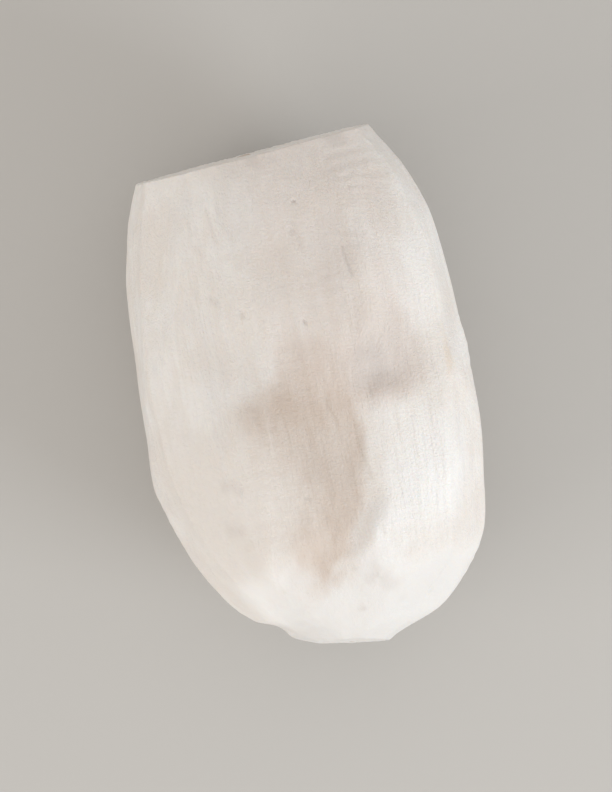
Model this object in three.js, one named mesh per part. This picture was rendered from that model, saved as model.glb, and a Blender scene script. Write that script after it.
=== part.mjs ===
// A peeled cassava root, trimmed at both ends: one solid piece of starchy flesh.
//
// The root lies on its side. +Y runs from the whittled tail to the sawn head, +X is to the right
// seen from above with the head up, and +Z is up. The origin is on the surface that the root lies
// on, under the middle of its box. All lengths are in millimetres.
//
// The surface is one closed grid. Its rows run from the middle of the tail cut over the rim, along
// the side and over the other rim to the middle of the head cut, and its columns go round the root.

import * as THREE from 'three';

// ---------------------------------------------------------------- driving dimensions

const LENGTH = 100; // tail cut to head cut, along the axis
const AXIS_HEIGHT = 26.4; // axis above the resting surface, so the widest part is pared flat below
const ROUNDNESS = 2.15; // exponent of the section: 2 is an ellipse, more is squarer
const EDGE_SHARPNESS = 6; // per mm: how crisp the ridges between two knife strokes are
const TAIL_SHARPNESS = 1.6; // per mm: the same for the cuts that whittle the tail
const UNPARED = 0.35; // how proud of its smooth section the flesh stands where no stroke took any off

// Distance from the tail cut, then the reach of the flesh from the axis to the left, right, top and
// bottom. The first and last run past the cuts, which slope.
const STATIONS = [
  [-4, 1.0, 4.0, 3.0, 3.0],
  [0, 4.0, 9.8, 8.0, 8.5],
  [4, 12.0, 20.2, 14.5, 15.0],
  [9, 19.0, 26.6, 19.2, 19.6],
  [16, 24.6, 30.8, 23.6, 23.8],
  [26, 29.4, 33.2, 26.6, 26.8],
  [40, 32.9, 35.2, 28.2, 28.4],
  [54, 32.7, 35.4, 28.8, 28.8],
  [68, 30.6, 36.0, 28.4, 28.2],
  [80, 28.2, 34.8, 27.0, 26.6],
  [91, 25.6, 31.2, 24.8, 24.4],
  [100, 22.6, 26.4, 21.8, 21.6],
  [104, 20.6, 24.0, 20.0, 19.8],
];
const [LEFT, RIGHT, TOP, BOTTOM] = [1, 2, 3, 4]; // columns of the stations

// Slow swellings of the flesh: lobes round the root, turn per mm along it, and where they start.
const SWELLINGS = [
  { height: 0.55, lobes: 2, turn: 0.045, start: 1.0 },
  { height: 0.4, lobes: 3, turn: -0.07, start: 2.4 },
  { height: 0.28, lobes: 5, turn: 0.1, start: 0.6 },
  { height: 0.2, lobes: 4, turn: 0.17, start: 4.0 },
];

// Flat strokes of the peeling knife, one round of them from each end, that meet about halfway.
const STROKES = {
  perRound: 11,
  uneven: 0.5, // how far a stroke strays from its place, as a share of the turn between two
  depth: [0.6, 1.6],
  lean: 0.16, // radians, at most half of this either way over the length
  meet: [38, 62], // between which distances from the tail cut the strokes end
  runIn: 6, // how long before its end a stroke begins to leave the flesh, and after it to clear it
  runOut: 10,
  lift: 0.15, // how far past its end the blade lifts, as a share of the depth
  ripple: 0.22, // how much the depth varies along a stroke, as a share of it
  rippleLength: 7, // mm per radian of that ripple
  widest: 0.5, // cosine of the turn from its middle past which a stroke cuts nothing
  seed: 2718,
};

// Knife cuts that whittle the tail. Each is a plane: its bearing round the axis from +X, how much
// it slopes off the axis, both in degrees, and a point on it, as distance from the tail cut and reach.
const TAIL_CUTS = [
  { bearing: 4, slope: 44, from: 4.4, reach: 20.4 },
  { bearing: 46, slope: 50, from: 8.0, reach: 19.6 },
  { bearing: 97, slope: 35, from: 9.0, reach: 16.6 },
  { bearing: 132, slope: 45, from: 8.0, reach: 15.2 },
  { bearing: 190, slope: 52, from: 8.0, reach: 17.0 },
  { bearing: 226, slope: 40, from: 10.0, reach: 19.8 },
  { bearing: 268, slope: 48, from: 8.0, reach: 16.6 },
  { bearing: 314, slope: 42, from: 8.0, reach: 20.4 },
];

// The two cuts across the root: their slopes to the side and upward, and how large the strand,
// the ring line and the chips are there, as a share of their size at the head.
const TAIL_CUT = { base: 0.6, tiltX: -0.17, tiltZ: 0.1, scale: 0.5 };
const HEAD_CUT = { base: LENGTH, tiltX: 0.04, tiltZ: -0.07, scale: 1 };

// The woody strand in the middle of a cut, and the moat where the flesh shrank back from it. Their
// edges slope between two shares of their widths.
const CORE = {
  across: 3.4, proud: 0.7, edge: [0.35, 0.6], moat: 0.5, moatAcross: 11, moatEdge: [0.3, 0.5],
};
const GROWTH_RING = { inset: 0.14, wide: 0.06, depth: 0.35 }; // shares of the cut's radius, and mm
const RIM_CHIPS = {
  count: 9,
  uneven: 0.8, // how far a chip strays from its place, as a share of the turn between two
  narrow: 0.05, // radians to either side of a chip's middle, at the head
  varies: 0.1, // how much wider than that the widest is
  flat: 0.3, // share of its width that is at full depth
  depth: 0.9,
  reach: 3.2,
  onCut: 0.8, // its depth in the cut, as a share of its depth in the side
  cutFrom: 0.85, // share of the cut's radius from which it shows there
  seed: 577,
};

// Between which sines of the angle round the axis the marks on the top fade in.
const ON_TOP = { from: 0.2, full: 0.6 };

// A hollow pared into the top, with a steep wall on its right. It widens towards the head.
const HOLLOW = {
  from: 9, // distance from the tail cut where it begins
  full: 22,
  fade: 47,
  to: 72,
  depth: 1.8,
  wallAt: -2, // how far right of the axis the wall is at its tail end
  wallReach: 10.5, // how much further right it swings
  wallFrom: 11, // between which distances from the tail cut it does so
  wallFull: 30,
  wallLean: 0.12, // how much further right it goes past that, per mm
  wallWidth: 6,
  floorAt: 5.5, // width of the hollow at its tail end
  floorSlope: 0.6, // how much wider it is per mm towards the head
  narrowest: 1,
  floorShare: 0.3, // share of its width that is at full depth
};

// A knife stop across the right shoulder, just past the wall: above it the flesh is pared lower.
const STEP = {
  at: 46,
  bow: 0.06, // how much nearer the tail it is per mm to the right
  rise: 7,
  depth: 1.4,
  fadeFrom: 6, // how far past the stop the pared flesh begins to rise again
  fade: 76,
  pastWall: 1.0,
  left: [-3, 5], // between which distances from its left end it fades in
  right: 27,
  rightFade: [-8, 3], // between which distances from its right end it fades out
};

// The scar of a side root on the right shoulder, and a bite out of the left of the tail.
const DENTS = [
  { bearing: 58, at: 51.0, around: 8.0, along: 4.2, depth: 0.7 },
  { bearing: 176, at: 6.4, around: 9.0, along: 2.6, depth: 1.9 },
];

const COLUMNS = 88;
const SIDE_ROWS = 42;
const ROW_EASING = 0.55; // how much closer together the rows of the side are near the rims: 0 is even
const CAP_RINGS = { tail: [0.14, 0.36, 0.66, 0.88], head: [0.07, 0.14, 0.26, 0.45, 0.66, 0.82, 0.89, 0.96] };

// ---------------------------------------------------------------- small helpers

const TURN = 2 * Math.PI;
const radians = (degrees) => (degrees * Math.PI) / 180;

function smoothstep(low, high, x) {
  const t = Math.min(1, Math.max(0, (x - low) / (high - low)));
  return t * t * (3 - 2 * t);
}

// A draw from 0 to 1 that is the same each run.
function drawsFrom(seed) {
  let state = seed;
  return () => {
    state = (state * 16807) % 2147483647;
    return state / 2147483647;
  };
}

// Smooth curve through the stations, for one of their columns.
function reachAt(column, s) {
  const last = STATIONS.length - 1;
  const x = Math.min(Math.max(s, STATIONS[0][0]), STATIONS[last][0]);
  let i = 0;
  while (i < last - 1 && x > STATIONS[i + 1][0]) i += 1;
  const slope = (k) => {
    const before = STATIONS[Math.max(k - 1, 0)];
    const after = STATIONS[Math.min(k + 1, last)];
    return (after[column] - before[column]) / (after[0] - before[0]);
  };
  const width = STATIONS[i + 1][0] - STATIONS[i][0];
  const t = (x - STATIONS[i][0]) / width;
  const near = (1 + 2 * t) * (1 - t) ** 2 * STATIONS[i][column];
  const far = t * t * (3 - 2 * t) * STATIONS[i + 1][column];
  const bend = t * (1 - t) ** 2 * width * slope(i) - t * t * (1 - t) * width * slope(i + 1);
  return near + far + bend;
}

// Reach of the flesh to the side and up or down, in the quarter that an angle points to.
function reachesTowards(angle, s) {
  const side = reachAt(Math.cos(angle) < 0 ? LEFT : RIGHT, s);
  const rise = reachAt(Math.sin(angle) > 0 ? TOP : BOTTOM, s);
  return [side, rise];
}

// ---------------------------------------------------------------- the side of the root

// The unpared section, a rounded oval.
function ovalRadius(angle, s) {
  const [side, rise] = reachesTowards(angle, s);
  const across = Math.abs(Math.cos(angle) / side) ** ROUNDNESS;
  const up = Math.abs(Math.sin(angle) / rise) ** ROUNDNESS;
  return (across + up) ** (-1 / ROUNDNESS);
}

// How far the flat side of a stroke that faces an angle lies from the axis when it just touches the oval.
function touchingDistance(angle, s) {
  const [side, rise] = reachesTowards(angle, s);
  const dual = ROUNDNESS / (ROUNDNESS - 1);
  const across = Math.abs(side * Math.cos(angle)) ** dual;
  const up = Math.abs(rise * Math.sin(angle)) ** dual;
  return (across + up) ** (1 / dual);
}

// Two rounds of peeling strokes: one worked from the tail and one from the head.
function makeStrokes() {
  const draw = drawsFrom(STROKES.seed);
  const strokes = [];
  for (const fromTail of [true, false]) {
    for (let i = 0; i < STROKES.perRound; i += 1) {
      const place = i + (fromTail ? 0 : 0.5) + STROKES.uneven * (draw() - 0.5);
      const facing = (place / STROKES.perRound) * TURN;
      const depth = STROKES.depth[0] + draw() * (STROKES.depth[1] - STROKES.depth[0]);
      const lean = STROKES.lean * (draw() - 0.5);
      const end = STROKES.meet[0] + draw() * (STROKES.meet[1] - STROKES.meet[0]);
      const wave = draw() * TURN;
      strokes.push({ fromTail, facing, depth, lean, end, wave });
    }
  }
  return strokes;
}

const strokes = makeStrokes();

function strokeRadius(stroke, angle, s) {
  const facing = stroke.facing + (stroke.lean * (s - LENGTH / 2)) / LENGTH;
  const turned = Math.cos(angle - facing);
  if (turned < STROKES.widest) return Infinity;
  const share = stroke.fromTail
    ? 1 - smoothstep(stroke.end - STROKES.runIn, stroke.end + STROKES.runOut, s)
    : smoothstep(stroke.end - STROKES.runOut, stroke.end + STROKES.runIn, s);
  const ripple = STROKES.ripple * Math.sin(s / STROKES.rippleLength + stroke.wave);
  const depth = stroke.depth * ((1 + STROKES.lift) * share - STROKES.lift + ripple);
  return (touchingDistance(facing, s) - depth) / turned;
}

const GRAZING = 0.05; // cosine below which a plane is as good as parallel to the line to it

function tailCutRadius(cut, angle, s) {
  const slope = radians(cut.slope);
  const towards = Math.cos(angle - radians(cut.bearing)) * Math.cos(slope);
  if (towards < GRAZING) return Infinity;
  return (cut.reach * Math.cos(slope) + (s - cut.from) * Math.sin(slope)) / towards;
}

// The least of several radii, with the ridges where two of them meet rounded a little.
function softLeast(radii, sharpness) {
  const least = Math.min(...radii);
  const sum = radii.reduce((total, r) => total + Math.exp(-sharpness * (r - least)), 0);
  return least - Math.log(sum) / sharpness;
}

function swellingAt(angle, s) {
  return SWELLINGS.reduce((sum, { height, lobes, turn, start }) => (
    sum + height * Math.cos(lobes * angle + turn * s + start)
  ), 0);
}

const turnBetween = (a, b) => Math.abs(Math.atan2(Math.sin(a - b), Math.cos(a - b)));

function dentDepth(angle, s, radius) {
  return DENTS.reduce((depth, dent) => {
    const around = (radius * turnBetween(angle, radians(dent.bearing))) / dent.around;
    const away = Math.hypot(around, (s - dent.at) / dent.along);
    return depth + dent.depth * (1 - smoothstep(0, 1, away));
  }, 0);
}

function sideRadius(angle, s) {
  const peeled = softLeast([
    ovalRadius(angle, s) + UNPARED,
    ...strokes.map((stroke) => strokeRadius(stroke, angle, s)),
  ], EDGE_SHARPNESS);
  const whittled = TAIL_CUTS.map((cut) => tailCutRadius(cut, angle, s));
  const pared = softLeast([peeled, ...whittled], TAIL_SHARPNESS);
  return pared + swellingAt(angle, s) - dentDepth(angle, s, pared);
}

// Where the steep wall of the hollow stands, as a distance right of the axis.
function wallAt(s) {
  const swung = HOLLOW.wallReach * smoothstep(HOLLOW.wallFrom, HOLLOW.wallFull, s);
  return HOLLOW.wallAt + swung + HOLLOW.wallLean * Math.max(0, s - HOLLOW.wallFull);
}

function hollowShare(x, s) {
  const along = smoothstep(HOLLOW.from, HOLLOW.full, s) * (1 - smoothstep(HOLLOW.fade, HOLLOW.to, s));
  const wall = wallAt(s);
  const floor = Math.max(HOLLOW.narrowest, HOLLOW.floorAt + HOLLOW.floorSlope * (s - HOLLOW.from));
  const sinking = smoothstep(wall - floor, wall - HOLLOW.floorShare * floor, x);
  return along * sinking * (1 - smoothstep(wall, wall + HOLLOW.wallWidth, x));
}

function stepShare(x, s) {
  const from = wallAt(s) + STEP.pastWall;
  const line = STEP.at - STEP.bow * (x - from);
  const along = smoothstep(line, line + STEP.rise, s)
    * (1 - smoothstep(line + STEP.fadeFrom, STEP.fade, s));
  const across = smoothstep(from + STEP.left[0], from + STEP.left[1], x)
    * (1 - smoothstep(STEP.right + STEP.rightFade[0], STEP.right + STEP.rightFade[1], x));
  return along * across;
}

// How deep the hollow and the knife stop in the top are, for a place x right of the axis.
const topRelief = (x, s) => HOLLOW.depth * hollowShare(x, s) + STEP.depth * stepShare(x, s);

// ---------------------------------------------------------------- the rims and the cuts

// Where a rim is chipped: the angle, the chip's width as an angle, and its depth as a share.
function makeChips(seed, scale) {
  const draw = drawsFrom(seed);
  const chips = [];
  for (let i = 0; i < RIM_CHIPS.count; i += 1) {
    const at = ((i + RIM_CHIPS.uneven * draw()) / RIM_CHIPS.count) * TURN;
    const wide = (RIM_CHIPS.narrow + RIM_CHIPS.varies * draw()) / scale;
    chips.push({ at, wide, deep: draw() });
  }
  return chips;
}

// How much flesh has broken out of a rim at an angle, as a share of the deepest chip.
function chipShare(chips, angle) {
  let share = 0;
  for (const chip of chips) {
    const away = turnBetween(angle, chip.at);
    const within = 1 - smoothstep(RIM_CHIPS.flat * chip.wide, chip.wide, away);
    share = Math.max(share, chip.deep * within);
  }
  return share;
}

const tail = {
  ...TAIL_CUT, inward: 1, rings: CAP_RINGS.tail, chips: makeChips(RIM_CHIPS.seed, TAIL_CUT.scale),
};
const head = {
  ...HEAD_CUT, inward: -1, rings: CAP_RINGS.head, chips: makeChips(RIM_CHIPS.seed + 1, HEAD_CUT.scale),
};

// Where a cut's plane is along the axis, at a place x right of the axis and up above it.
const cutAt = (end, x, up) => end.base + end.tiltX * x + end.tiltZ * up;

const RIM_STEPS = 4; // enough for a rim to settle on its plane

// Where the rim of a cut is along the axis, on the line that an angle points along.
function rimAt(end, angle) {
  let s = end.base;
  for (let i = 0; i < RIM_STEPS; i += 1) {
    const radius = sideRadius(angle, s);
    s = cutAt(end, radius * Math.cos(angle), radius * Math.sin(angle));
  }
  return s;
}

// A point of the side: angle round the axis, and the share of the way from the tail rim to the head rim.
function sidePoint(angle, share) {
  const rims = [rimAt(tail, angle), rimAt(head, angle)];
  const s = rims[0] + share * (rims[1] - rims[0]);
  let radius = sideRadius(angle, s);
  [tail, head].forEach((end, i) => {
    const near = Math.max(0, 1 - Math.abs(s - rims[i]) / RIM_CHIPS.reach);
    radius -= RIM_CHIPS.depth * end.scale * chipShare(end.chips, angle) * near ** 2;
  });
  const x = radius * Math.cos(angle);
  const onTop = smoothstep(ON_TOP.from, ON_TOP.full, Math.sin(angle));
  const up = radius * Math.sin(angle) - onTop * topRelief(x, s);
  return new THREE.Vector3(x, s - LENGTH / 2, Math.max(0, AXIS_HEIGHT + up));
}

// How far a cut's face lies in from its plane: a moat round the proud strand, a ring line and chips.
function cutRelief(end, angle, share, radius) {
  const within = (across, [flat, edge]) => (
    1 - smoothstep(flat * across * end.scale, edge * across * end.scale, radius)
  );
  const strand = CORE.proud * within(CORE.across, CORE.edge);
  const moat = CORE.moat * within(CORE.moatAcross, CORE.moatEdge);
  const fromRing = Math.abs(1 - GROWTH_RING.inset - share);
  const ring = GROWTH_RING.depth * (1 - smoothstep(0, GROWTH_RING.wide, fromRing));
  const chipDepth = RIM_CHIPS.onCut * RIM_CHIPS.depth * chipShare(end.chips, angle);
  const chip = chipDepth * smoothstep(RIM_CHIPS.cutFrom, 1, share);
  return end.inward * end.scale * (moat + ring + chip - strand);
}

// A point of a cut: a share of the way from its middle to the rim.
function cutPoint(end, angle, share) {
  const rim = sidePoint(angle, end === tail ? 0 : 1);
  const x = rim.x * share;
  const up = (rim.z - AXIS_HEIGHT) * share;
  const s = cutAt(end, x, up) + cutRelief(end, angle, share, Math.hypot(x, up));
  return new THREE.Vector3(x, s - LENGTH / 2, AXIS_HEIGHT + up);
}

// ---------------------------------------------------------------- the closed surface

// Shares of the way along the side, closer together near the rims.
function sideShares() {
  const shares = [];
  for (let i = 0; i <= SIDE_ROWS; i += 1) {
    const t = i / SIDE_ROWS;
    shares.push(t - (ROW_EASING * Math.sin(TURN * t)) / TURN);
  }
  return shares;
}

function rootGeometry() {
  const rows = [];
  const ringOf = (pointAt) => {
    const ring = [];
    for (let i = 0; i < COLUMNS; i += 1) ring.push(pointAt((i / COLUMNS) * TURN));
    return ring;
  };
  tail.rings.forEach((share) => rows.push(ringOf((angle) => cutPoint(tail, angle, share))));
  sideShares().forEach((share) => rows.push(ringOf((angle) => sidePoint(angle, share))));
  [...head.rings].reverse().forEach((share) => rows.push(ringOf((angle) => cutPoint(head, angle, share))));

  const points = [cutPoint(tail, 0, 0), ...rows.flat(), cutPoint(head, 0, 0)];
  const at = (row, column) => 1 + row * COLUMNS + (column % COLUMNS);
  const faces = [];
  for (let column = 0; column < COLUMNS; column += 1) {
    faces.push(0, at(0, column), at(0, column + 1));
    for (let row = 0; row < rows.length - 1; row += 1) {
      const [a, b] = [at(row, column), at(row, column + 1)];
      const [c, d] = [at(row + 1, column), at(row + 1, column + 1)];
      faces.push(a, c, b, b, c, d);
    }
    const lastRow = rows.length - 1;
    faces.push(at(lastRow, column), points.length - 1, at(lastRow, column + 1));
  }

  const geometry = new THREE.BufferGeometry().setFromPoints(points);
  geometry.setIndex(faces);
  geometry.computeBoundingBox();
  const middle = geometry.boundingBox.getCenter(new THREE.Vector3());
  geometry.translate(-middle.x, -middle.y, 0);
  geometry.computeVertexNormals();
  return geometry;
}

const flesh = new THREE.MeshStandardMaterial({ color: 0xf1ece4, roughness: 0.6, metalness: 0 });

const root = new THREE.Mesh(rootGeometry(), flesh);
root.name = 'cassava_root';

const cassava = new THREE.Group();
cassava.add(root);

export default cassava;
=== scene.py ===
"""Looks of a peeled cassava root, trimmed at both ends, laid out as a Blender add-on and run as a script.

The root's form is one closed grid of points. Its rows run from the middle of the tail cut over the
rim, along the side and over the other rim to the middle of the head cut, and its columns go round
the root. The form is worked out in millimetres, in the solid's own terms, and then gets the fine
relief that a knife and the fibres leave. Marks on the same grid say where the flesh is stained or
bruised, and where shade and light are painted on it, and the material takes its colours from them.
"""

import math

import bpy
import numpy as np
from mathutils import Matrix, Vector


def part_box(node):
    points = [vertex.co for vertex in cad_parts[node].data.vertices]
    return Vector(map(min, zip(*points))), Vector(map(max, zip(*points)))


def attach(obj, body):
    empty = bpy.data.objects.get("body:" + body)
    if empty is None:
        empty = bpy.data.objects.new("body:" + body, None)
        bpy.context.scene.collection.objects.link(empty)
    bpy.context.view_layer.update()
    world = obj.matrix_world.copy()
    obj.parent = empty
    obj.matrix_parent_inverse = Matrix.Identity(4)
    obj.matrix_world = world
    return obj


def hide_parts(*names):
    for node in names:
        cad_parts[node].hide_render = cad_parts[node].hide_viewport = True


bl_info = {
    "name": "Peeled Cassava Root",
    "version": (1, 0, 0),
    "blender": (4, 5, 0),
    "location": "3D View > Sidebar > Cassava",
    "description": "Makes a peeled cassava root with pared sides and cut ends, and a plain stage for it",
    "category": "Add Mesh",
}

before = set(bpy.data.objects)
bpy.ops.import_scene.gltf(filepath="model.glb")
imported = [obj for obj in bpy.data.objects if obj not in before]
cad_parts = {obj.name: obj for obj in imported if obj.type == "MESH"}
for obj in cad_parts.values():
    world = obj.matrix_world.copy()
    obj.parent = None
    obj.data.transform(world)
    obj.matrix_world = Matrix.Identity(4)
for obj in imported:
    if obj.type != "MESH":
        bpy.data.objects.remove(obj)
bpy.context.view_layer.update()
ROOT_NODE = "cassava_root"
MM = 0.001
TURN = 2 * math.pi

# -------- form, in millimetres

# Throughout, s is the distance from the tail along the axis, angles go round the axis from the right
# over the top, and x and up are measured from the axis.

LENGTH = 100.0
AXIS_HEIGHT = 26.4
ROUNDNESS = 2.15  # power of the section's curve, where 2 would be an ellipse
EDGE_SHARPNESS = 6.0  # of the ridges between peeling strokes
TAIL_SHARPNESS = 1.6  # of the ridges between the tail's cuts
UNPARED = 0.35  # how far the flesh stands out of its oval where no stroke reaches
GRAZING = 0.05  # cosine below which a plane is as good as parallel to the line to it
OUT_OF_REACH = 1000.0
RIM_ROUNDS = 4  # rounds of working out where the side meets an end cut
DRAW_FACTOR, DRAW_RANGE = 16807, 2147483647

# Distance from the tail cut, then the reach of the flesh to the left, right, top and bottom.
STATIONS = np.array([
    [-4, 1.0, 4.0, 3.0, 3.0],
    [0, 4.0, 9.8, 8.0, 8.5],
    [4, 12.0, 20.2, 14.5, 15.0],
    [9, 19.0, 26.6, 19.2, 19.6],
    [16, 24.6, 30.8, 23.6, 23.8],
    [26, 29.4, 33.2, 26.6, 26.8],
    [40, 32.9, 35.2, 28.2, 28.4],
    [54, 32.7, 35.4, 28.8, 28.8],
    [68, 30.6, 36.0, 28.4, 28.2],
    [80, 28.2, 34.8, 27.0, 26.6],
    [91, 25.6, 31.2, 24.8, 24.4],
    [100, 22.6, 26.4, 21.8, 21.6],
    [104, 20.6, 24.0, 20.0, 19.8],
])
LEFT, RIGHT, TOP, BOTTOM = 1, 2, 3, 4

# Slow swellings: height, lobes round the root, turn per millimetre and starting angle.
SWELLINGS = [(0.55, 2, 0.045, 1.0), (0.4, 3, -0.07, 2.4), (0.28, 5, 0.1, 0.6), (0.2, 4, 0.17, 4.0)]

# Flat strokes of the peeling knife, one round of them from each end, that meet about halfway.
STROKES = {
    "per_round": 11, "uneven": 0.5, "depth": (0.6, 1.6), "lean": 0.16, "meet": (38, 62),
    "run_in": 6, "run_out": 10, "lift": 0.15, "ripple": 0.22, "ripple_length": 7, "widest": 0.5,
    "head_turned": 0.5, "seed": 2718,
}

# Knife cuts that whittle the tail: bearing round the axis, slope, and a point that the plane passes
# through, as a distance from the tail cut and a reach from the axis.
TAIL_CUTS = [
    (4, 44, 4.4, 20.4), (46, 50, 8.0, 19.6), (97, 35, 9.0, 16.6), (132, 45, 8.0, 15.2),
    (190, 52, 8.0, 17.0), (226, 40, 10.0, 19.8), (268, 48, 8.0, 16.6), (314, 42, 8.0, 20.4),
]
HEAD_CUT = {"base": LENGTH, "tilt_x": 0.04, "tilt_z": -0.07, "scale": 1, "inward": -1}
TAIL_CUT = {"base": 0.6, "tilt_x": -0.17, "tilt_z": 0.1, "scale": 0.5, "inward": 1}

# The woody strand in the middle of a cut with the moat round it, and the ring line near the rim.
CORE = {
    "across": 3.4, "proud": 0.7, "edge": (0.35, 0.6),
    "moat": 0.5, "moat_across": 11, "moat_edge": (0.3, 0.5),
}
GROWTH_RING = {"inset": 0.14, "wide": 0.06, "depth": 0.35}
RIM_CHIPS = {
    "count": 9, "uneven": 0.8, "narrow": 0.05, "varies": 0.1, "flat": 0.3, "depth": 0.9,
    "reach": 3.2, "on_cut": 0.8, "cut_from": 0.85, "seed": 577,
}

# A hollow pared into the top, with a steep wall on its right, and a knife stop past the wall.
ON_TOP = (0.2, 0.6)
HOLLOW = {
    "from": 9, "full": 22, "fade": 47, "to": 72, "depth": 1.8,
    "wall_at": -2, "wall_reach": 10.5, "wall_from": 11, "wall_full": 30, "wall_lean": 0.12,
    "wall_width": 6.0,
    "floor_at": 5.5, "floor_slope": 0.6, "narrowest": 1, "floor_share": 0.3,
}
STEP = {
    "at": 46.0, "bow": 0.06, "rise": 7.0, "depth": 1.4, "fade_from": 6, "fade": 76,
    "past_wall": 1.0, "left": (-3, 5), "right": (19, 30),
    "wavers": ((0.6, 1.7), (0.35, 0.8)),
}
# The first dent is on the right shoulder, with painted shade in it, the second beside the tail.
DENTS = [
    {"bearing": 58, "at": 51.0, "around": 8.0, "along": 4.2, "depth": 0.7},
    {"bearing": 176, "at": 6.4, "around": 9.0, "along": 2.6, "depth": 1.9},
]


def smoothstep(low, high, x):
    t = np.clip((x - low) / (high - low), 0, 1)
    return t * t * (3 - 2 * t)


def within(bounds, x):
    """A soft window: in between the first two bounds and out between the last two."""
    return smoothstep(bounds[0], bounds[1], x) * (1 - smoothstep(bounds[2], bounds[3], x))


def draws_from(seed):
    """Endless draws from 0 to 1, the same each run."""
    state = seed
    while True:
        state = (state * DRAW_FACTOR) % DRAW_RANGE
        yield state / DRAW_RANGE


def reach_at(column, s):
    """The smooth curve through one column of the stations."""
    at, reach = STATIONS[:, 0], STATIONS[:, column]
    slope = np.empty(len(at))
    slope[1:-1] = (reach[2:] - reach[:-2]) / (at[2:] - at[:-2])
    slope[0] = (reach[1] - reach[0]) / (at[1] - at[0])
    slope[-1] = (reach[-1] - reach[-2]) / (at[-1] - at[-2])
    s = np.clip(s, at[0], at[-1])
    i = np.clip(np.searchsorted(at, s, side="left") - 1, 0, len(at) - 2)
    width = at[i + 1] - at[i]
    t = (s - at[i]) / width
    near = (1 + 2 * t) * (1 - t) ** 2 * reach[i]
    far = t * t * (3 - 2 * t) * reach[i + 1]
    bend = t * (1 - t) ** 2 * width * slope[i] - t * t * (1 - t) * width * slope[i + 1]
    return near + far + bend


def reaches_towards(angle, s):
    """The reach to the side and up or down, in the quarter that the angle points to."""
    side = np.where(np.cos(angle) < 0, reach_at(LEFT, s), reach_at(RIGHT, s))
    rise = np.where(np.sin(angle) > 0, reach_at(TOP, s), reach_at(BOTTOM, s))
    return side, rise


def oval_radius(angle, s):
    """The reach of the flesh before it is pared."""
    side, rise = reaches_towards(angle, s)
    across = np.abs(np.cos(angle) / side) ** ROUNDNESS
    up = np.abs(np.sin(angle) / rise) ** ROUNDNESS
    return (across + up) ** (-1 / ROUNDNESS)


def touching_distance(angle, s):
    """How far from the axis a flat facing the angle lies when it just touches the oval."""
    side, rise = reaches_towards(angle, s)
    dual = ROUNDNESS / (ROUNDNESS - 1)
    across = np.abs(side * np.cos(angle)) ** dual
    up = np.abs(rise * np.sin(angle)) ** dual
    return (across + up) ** (1 / dual)


def make_strokes():
    """Two rounds of peeling strokes: one worked from the tail and one from the head."""
    draw = draws_from(STROKES["seed"])
    shallow, deep = STROKES["depth"]
    first, last = STROKES["meet"]
    strokes = []
    for from_tail in (True, False):
        for i in range(STROKES["per_round"]):
            start = i + (0 if from_tail else STROKES["head_turned"])
            facing = (start + STROKES["uneven"] * (next(draw) - 0.5)) / STROKES["per_round"] * TURN
            stroke = {"from_tail": from_tail, "facing": facing}
            stroke["depth"] = shallow + next(draw) * (deep - shallow)
            stroke["lean"] = STROKES["lean"] * (next(draw) - 0.5)
            stroke["end"] = first + next(draw) * (last - first)
            stroke["wave"] = next(draw) * TURN
            strokes.append(stroke)
    return strokes


def stroke_radius(stroke, angle, s):
    """The reach up to the flat that a peeling stroke leaves."""
    facing = stroke["facing"] + stroke["lean"] * (s - LENGTH / 2) / LENGTH
    turned = np.cos(angle - facing)
    run_in, run_out, end = STROKES["run_in"], STROKES["run_out"], stroke["end"]
    if stroke["from_tail"]:
        share = 1 - smoothstep(end - run_in, end + run_out, s)
    else:
        share = smoothstep(end - run_out, end + run_in, s)
    ripple = STROKES["ripple"] * np.sin(s / STROKES["ripple_length"] + stroke["wave"])
    depth = stroke["depth"] * ((1 + STROKES["lift"]) * share - STROKES["lift"] + ripple)
    radius = (touching_distance(facing, s) - depth) / np.maximum(turned, STROKES["widest"])
    return np.where(turned < STROKES["widest"], OUT_OF_REACH, radius)


def tail_cut_radius(cut, angle, s):
    """The reach up to the plane of a cut that whittles the tail."""
    bearing, slope, at, reach = cut
    lean = math.radians(slope)
    towards = np.cos(angle - math.radians(bearing)) * math.cos(lean)
    radius = (reach * math.cos(lean) + (s - at) * math.sin(lean)) / np.maximum(towards, GRAZING)
    return np.where(towards < GRAZING, OUT_OF_REACH, radius)


def soft_least(radii, sharpness):
    """The least of several radii, with the ridges where two of them meet rounded a little."""
    stacked = np.stack(radii)
    least = stacked.min(axis=0)
    total = np.exp(-sharpness * (stacked - least)).sum(axis=0)
    return least - np.log(total) / sharpness


STROKE_LIST = make_strokes()


def turn_from(a, b):
    """The turn from angle a to angle b, by the shorter way."""
    return np.arctan2(np.sin(b - a), np.cos(b - a))


def dent_share(dent, angle, s, radius):
    around = radius * turn_from(math.radians(dent["bearing"]), angle) / dent["around"]
    return 1 - smoothstep(0, 1, np.hypot(around, (s - dent["at"]) / dent["along"]))


def pared_radius(angle, s):
    """The reach that the peeling strokes and the whittling of the tail leave."""
    radii = [oval_radius(angle, s) + UNPARED]
    radii += [stroke_radius(stroke, angle, s) for stroke in STROKE_LIST]
    pared = soft_least(radii, EDGE_SHARPNESS)
    return soft_least([pared, *(tail_cut_radius(cut, angle, s) for cut in TAIL_CUTS)], TAIL_SHARPNESS)


def side_radius(angle, s):
    """The reach of the side, apart from the relief on top."""
    pared = pared_radius(angle, s)
    swelling = sum(h * np.cos(lobes * angle + turn * s + at) for h, lobes, turn, at in SWELLINGS)
    dented = sum(dent["depth"] * dent_share(dent, angle, s, pared) for dent in DENTS)
    return pared + swelling - dented


def wall_at(s):
    """Where the steep wall of the hollow stands, as a distance right of the axis."""
    swung = HOLLOW["wall_reach"] * smoothstep(HOLLOW["wall_from"], HOLLOW["wall_full"], s)
    leaning = HOLLOW["wall_lean"] * np.maximum(0, s - HOLLOW["wall_full"])
    return HOLLOW["wall_at"] + swung + leaning


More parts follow.
